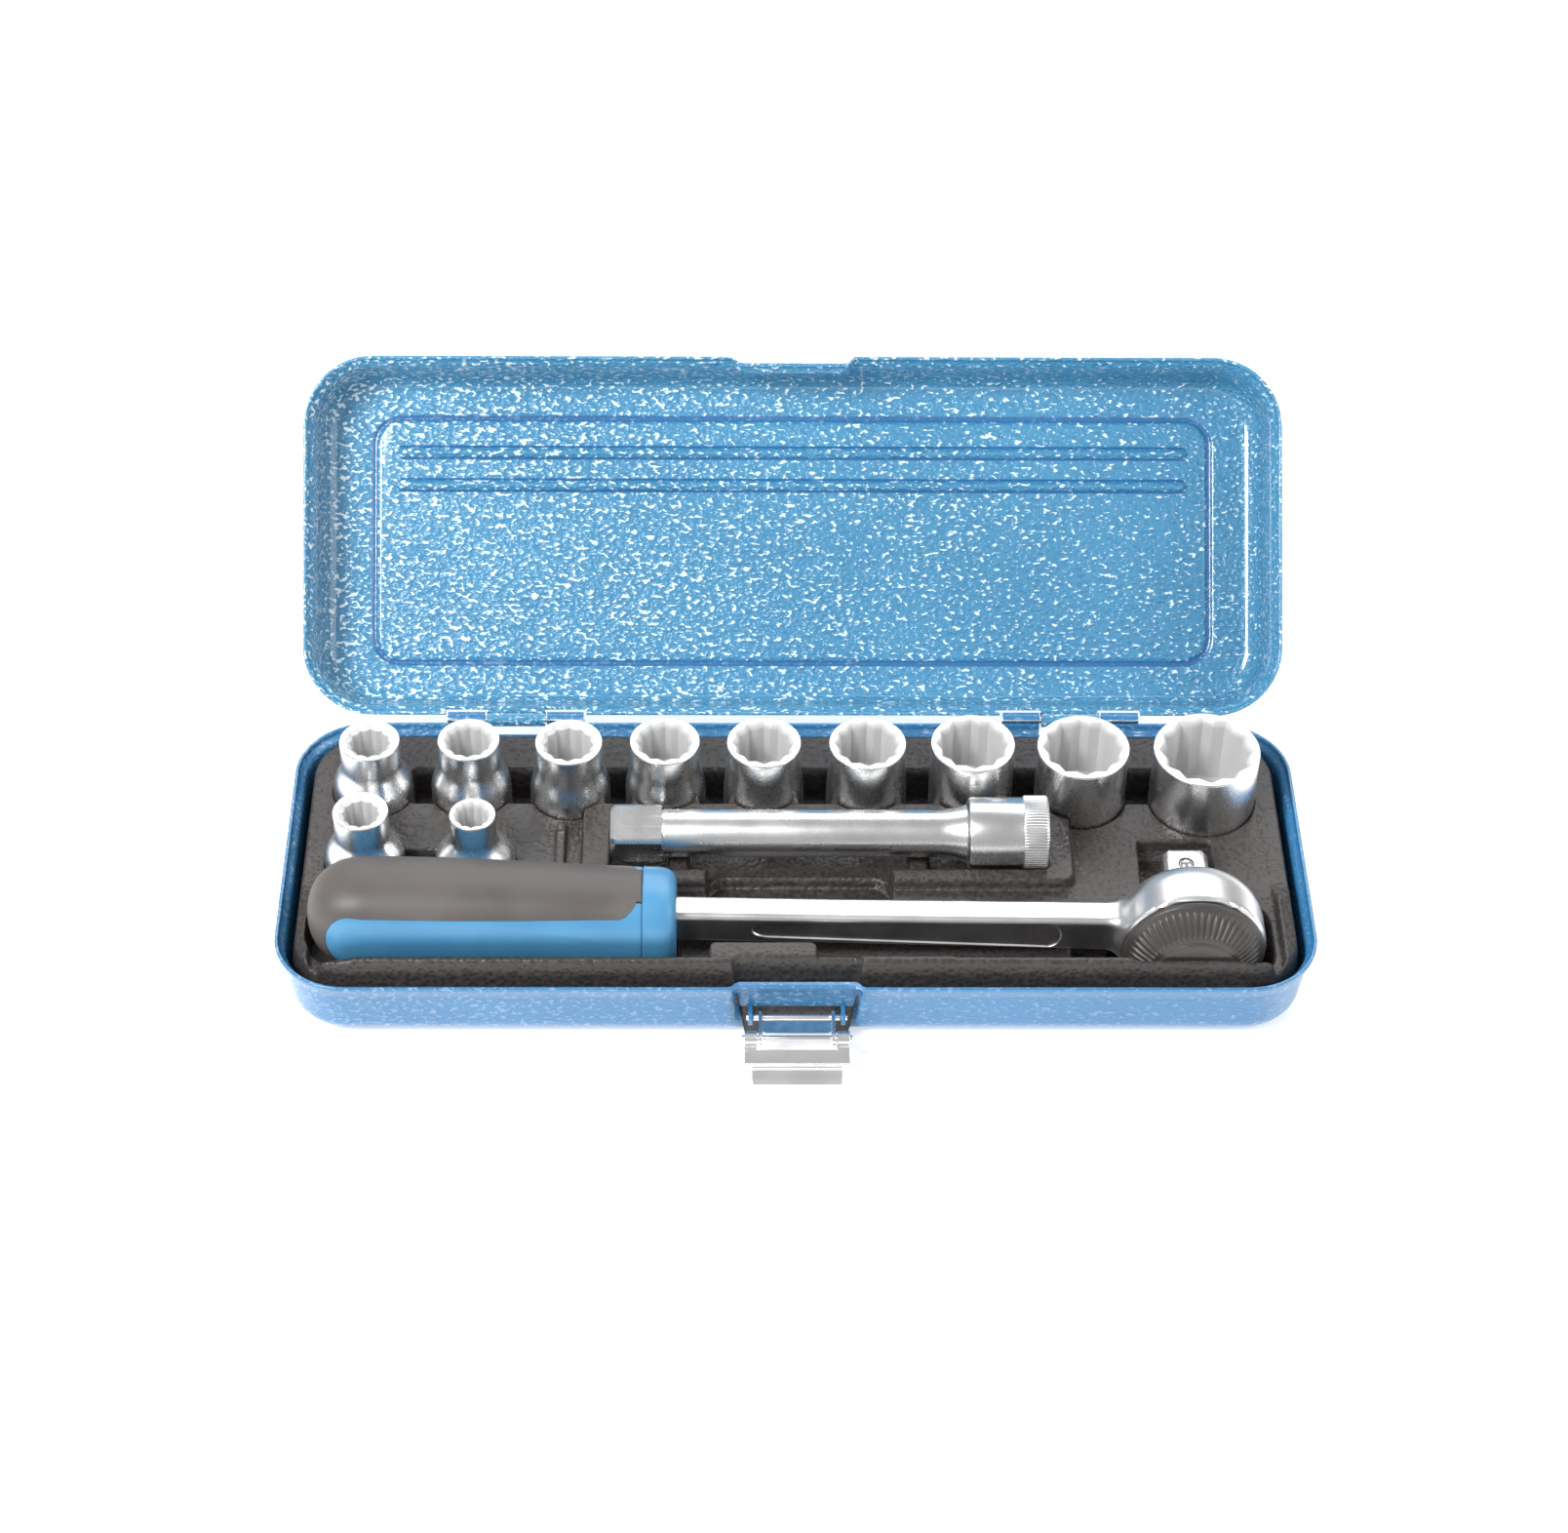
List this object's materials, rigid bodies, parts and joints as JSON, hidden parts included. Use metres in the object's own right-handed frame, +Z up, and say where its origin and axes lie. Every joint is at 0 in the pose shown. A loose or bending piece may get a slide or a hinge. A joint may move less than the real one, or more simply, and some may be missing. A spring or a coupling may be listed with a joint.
{
  "type": "socket wrench set in case",
  "caption": "Hinged sheet-metal case with a formed tray holding flared sockets, an extension bar and a reversible ratchet with a two-component handle.",
  "frame": {"origin": "centre of the underside of the case base", "axes": "+X along the case towards the ratchet head, +Y towards the hinges, +Z up"},
  "size_m": [0.289, 0.2116, 0.0987],
  "materials": {
    "blue_hammered_paint": "hammered gloss enamel with bright flecks",
    "tray_plastic": "grained vacuum-formed plastic",
    "satin_chrome": "satin chrome plate",
    "bright_nickel": "bright nickel plate",
    "ball_steel": "polished",
    "dark_steel": "oiled",
    "handle_blue": "satin moulded",
    "grip_rubber": "matte soft-touch",
    "dial_plastic": "moulded"
  },
  "bodies": {
    "case": {"case_base": "blue_hammered_paint", "tool_tray": "tray_plastic", "hinge_pin_left": "bright_nickel", "hinge_pin_right": "bright_nickel", "latch_base_pin": "bright_nickel"},
    "lid": {"case_lid": "blue_hammered_paint"},
    "latch_link": {"latch_link": "bright_nickel", "latch_link_pin": "bright_nickel"},
    "latch_lever": {"latch_lever": "bright_nickel"},
    "socket_08mm": {"socket_08mm": "satin_chrome"},
    "socket_09mm": {"socket_09mm": "satin_chrome"},
    "socket_10mm": {"socket_10mm": "satin_chrome"},
    "socket_11mm": {"socket_11mm": "satin_chrome"},
    "socket_12mm": {"socket_12mm": "satin_chrome"},
    "socket_13mm": {"socket_13mm": "satin_chrome"},
    "socket_14mm": {"socket_14mm": "satin_chrome"},
    "socket_15mm": {"socket_15mm": "satin_chrome"},
    "socket_17mm": {"socket_17mm": "satin_chrome"},
    "socket_19mm": {"socket_19mm": "satin_chrome"},
    "socket_22mm": {"socket_22mm": "satin_chrome"},
    "extension": {"extension_bar": "satin_chrome", "extension_ball": "ball_steel", "extension_spring": "dark_steel"},
    "ratchet": {"ratchet_body": "satin_chrome", "handle_core": "handle_blue", "handle_grip": "grip_rubber", "cover_plate": "dark_steel", "retaining_ring": "bright_nickel", "pawl_pin": "dark_steel"},
    "drive": {"drive_gear": "satin_chrome", "drive_ball": "ball_steel", "drive_ball_spring": "dark_steel"},
    "pawl": {"pawl": "dark_steel"},
    "dial": {"reversing_dial": "dial_plastic", "shift_ball": "ball_steel", "shift_spring": "dark_steel"}
  },
  "joints": [
    {"name": "lid_hinge", "type": "hinge", "parent": "case", "child": "lid", "pos_m": [0, 0.0543, 0.023], "axis": [-1, 0, 0], "range_deg": [-135, 0]},
    {"name": "latch_link_hinge", "type": "hinge", "parent": "case", "child": "latch_link", "pos_m": [0, -0.0506, 0.0089], "axis": [1, 0, 0], "range_deg": [-85, 0]},
    {"name": "latch_lever_hinge", "type": "hinge", "parent": "latch_link", "child": "latch_lever", "pos_m": [0, -0.05907, 0.00964], "axis": [1, 0, 0], "range_deg": [-25, 0]},
    {"name": "socket_08mm_lift", "type": "slide", "parent": "case", "child": "socket_08mm", "axis": [0, 0, 1], "range_m": [0, 0.07]},
    {"name": "socket_09mm_lift", "type": "slide", "parent": "case", "child": "socket_09mm", "axis": [0, 0, 1], "range_m": [0, 0.07]},
    {"name": "socket_10mm_lift", "type": "slide", "parent": "case", "child": "socket_10mm", "axis": [0, 0, 1], "range_m": [0, 0.07]},
    {"name": "socket_11mm_lift", "type": "slide", "parent": "case", "child": "socket_11mm", "axis": [0, 0, 1], "range_m": [0, 0.07]},
    {"name": "socket_12mm_lift", "type": "slide", "parent": "case", "child": "socket_12mm", "axis": [0, 0, 1], "range_m": [0, 0.07]},
    {"name": "socket_13mm_lift", "type": "slide", "parent": "case", "child": "socket_13mm", "axis": [0, 0, 1], "range_m": [0, 0.07]},
    {"name": "socket_14mm_lift", "type": "slide", "parent": "case", "child": "socket_14mm", "axis": [0, 0, 1], "range_m": [0, 0.07]},
    {"name": "socket_15mm_lift", "type": "slide", "parent": "case", "child": "socket_15mm", "axis": [0, 0, 1], "range_m": [0, 0.07]},
    {"name": "socket_17mm_lift", "type": "slide", "parent": "case", "child": "socket_17mm", "axis": [0, 0, 1], "range_m": [0, 0.07]},
    {"name": "socket_19mm_lift", "type": "slide", "parent": "case", "child": "socket_19mm", "axis": [0, 0, 1], "range_m": [0, 0.07]},
    {"name": "socket_22mm_lift", "type": "slide", "parent": "case", "child": "socket_22mm", "axis": [0, 0, 1], "range_m": [0, 0.07]},
    {"name": "extension_lift", "type": "slide", "parent": "case", "child": "extension", "axis": [0, 0, 1], "range_m": [0, 0.07]},
    {"name": "ratchet_lift", "type": "slide", "parent": "case", "child": "ratchet", "axis": [0, 0, 1], "range_m": [0, 0.07]},
    {"name": "drive_spin", "type": "hinge", "parent": "ratchet", "child": "drive", "pos_m": [0.1096, -0.02, 0.0225], "axis": [0, 1, 0], "continuous": true},
    {"name": "dial_turn", "type": "hinge", "parent": "ratchet", "child": "dial", "pos_m": [0.1096, -0.04, 0.0225], "axis": [0, -1, 0], "range_deg": [0, 40]},
    {"name": "pawl_rock", "type": "hinge", "parent": "ratchet", "child": "pawl", "pos_m": [0.0957, -0.03, 0.0225], "axis": [0, -1, 0], "range_deg": [0, 12]}
  ],
  "couplings": [
    {"joint": "pawl_rock", "follows": "dial_turn", "ratio": 0.3}
  ]
}
